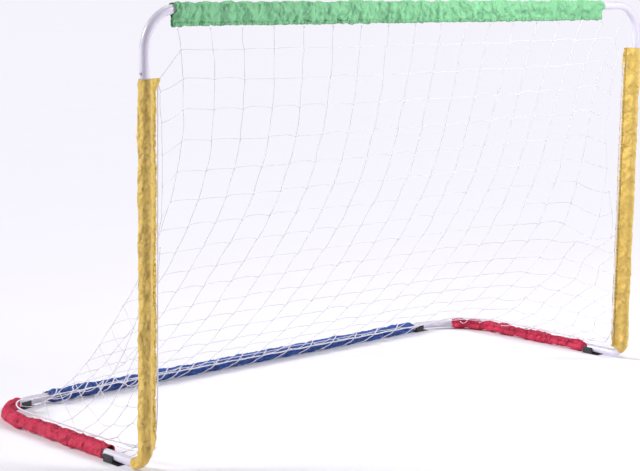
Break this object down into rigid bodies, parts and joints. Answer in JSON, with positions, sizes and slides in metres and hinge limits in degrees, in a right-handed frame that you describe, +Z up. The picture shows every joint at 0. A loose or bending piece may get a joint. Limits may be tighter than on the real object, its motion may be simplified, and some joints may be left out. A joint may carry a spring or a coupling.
{
  "type": "hockey goal net",
  "caption": "Knock-down hoop goal of white steel tube with coloured cloth sleeves, clip-on feet and a hanging rope net that slopes back to a floor frame.",
  "frame": {"origin": "on the floor, under the middle of the frame", "axes": "+Z up, -Y out of the goal mouth, +X to the right as seen from in front"},
  "size_m": [1.839, 0.7125, 1.0672],
  "materials": {
    "white_powder_coat": "satin powder coat",
    "plated_steel": "zinc plated",
    "spring_steel": "bare spring steel",
    "black_plastic": "moulded, lightly worn",
    "green_cloth": "thin woven nylon, creased",
    "yellow_cloth": "thin woven nylon, creased",
    "red_cloth": "thin woven nylon, creased",
    "blue_cloth": "thin woven nylon, creased",
    "white_twine": "knotted twisted twine",
    "white_cord": "twisted cord"
  },
  "bodies": {
    "frame": {"crossbar_left": "white_powder_coat", "crossbar_right": "white_powder_coat", "post_left": "white_powder_coat", "post_right": "white_powder_coat", "side_bar_left": "white_powder_coat", "side_bar_right": "white_powder_coat", "rear_bar_left": "white_powder_coat", "rear_bar_right": "white_powder_coat", "spring_crossbar": "spring_steel", "spring_post_left": "spring_steel", "spring_post_right": "spring_steel", "spring_side_left": "spring_steel", "spring_side_right": "spring_steel", "spring_rear_left": "spring_steel", "spring_rear_right": "spring_steel", "spring_rear_middle": "spring_steel", "foot_front_left": "black_plastic", "foot_front_right": "black_plastic", "foot_rear_left": "black_plastic", "foot_rear_right": "black_plastic", "sleeve_crossbar": "green_cloth", "sleeve_post_left": "yellow_cloth", "sleeve_post_right": "yellow_cloth", "sleeve_side_left": "red_cloth", "sleeve_side_right": "red_cloth", "sleeve_rear": "blue_cloth", "net_back": "white_twine", "net_left": "white_twine", "net_right": "white_twine", "cord_rear": "white_cord", "cord_left": "white_cord", "cord_right": "white_cord"},
    "button_crossbar": {"button_crossbar": "plated_steel"},
    "button_post_left": {"button_post_left": "plated_steel"},
    "button_post_right": {"button_post_right": "plated_steel"},
    "button_side_left": {"button_side_left": "plated_steel"},
    "button_side_right": {"button_side_right": "plated_steel"},
    "button_rear_left": {"button_rear_left": "plated_steel"},
    "button_rear_right": {"button_rear_right": "plated_steel"},
    "button_rear_middle": {"button_rear_middle": "plated_steel"}
  },
  "joints": [
    {"name": "press_crossbar", "type": "slide", "parent": "frame", "child": "button_crossbar", "axis": [0, 0, 1], "range_m": [0, 0.0038], "stiffness_N_per_m": 2500, "springref_m": -0.001},
    {"name": "press_post_left", "type": "slide", "parent": "frame", "child": "button_post_left", "axis": [1, 0, 0], "range_m": [0, 0.0038], "stiffness_N_per_m": 2500, "springref_m": -0.001},
    {"name": "press_post_right", "type": "slide", "parent": "frame", "child": "button_post_right", "axis": [-1, 0, 0], "range_m": [0, 0.0038], "stiffness_N_per_m": 2500, "springref_m": -0.001},
    {"name": "press_side_left", "type": "slide", "parent": "frame", "child": "button_side_left", "axis": [-1, 0, 0], "range_m": [0, 0.0038], "stiffness_N_per_m": 2500, "springref_m": -0.001},
    {"name": "press_side_right", "type": "slide", "parent": "frame", "child": "button_side_right", "axis": [1, 0, 0], "range_m": [0, 0.0038], "stiffness_N_per_m": 2500, "springref_m": -0.001},
    {"name": "press_rear_left", "type": "slide", "parent": "frame", "child": "button_rear_left", "axis": [0, 1, 0], "range_m": [0, 0.0038], "stiffness_N_per_m": 2500, "springref_m": -0.001},
    {"name": "press_rear_right", "type": "slide", "parent": "frame", "child": "button_rear_right", "axis": [0, 1, 0], "range_m": [0, 0.0038], "stiffness_N_per_m": 2500, "springref_m": -0.001},
    {"name": "press_rear_middle", "type": "slide", "parent": "frame", "child": "button_rear_middle", "axis": [0, 1, 0], "range_m": [0, 0.0038], "stiffness_N_per_m": 2500, "springref_m": -0.001}
  ]
}
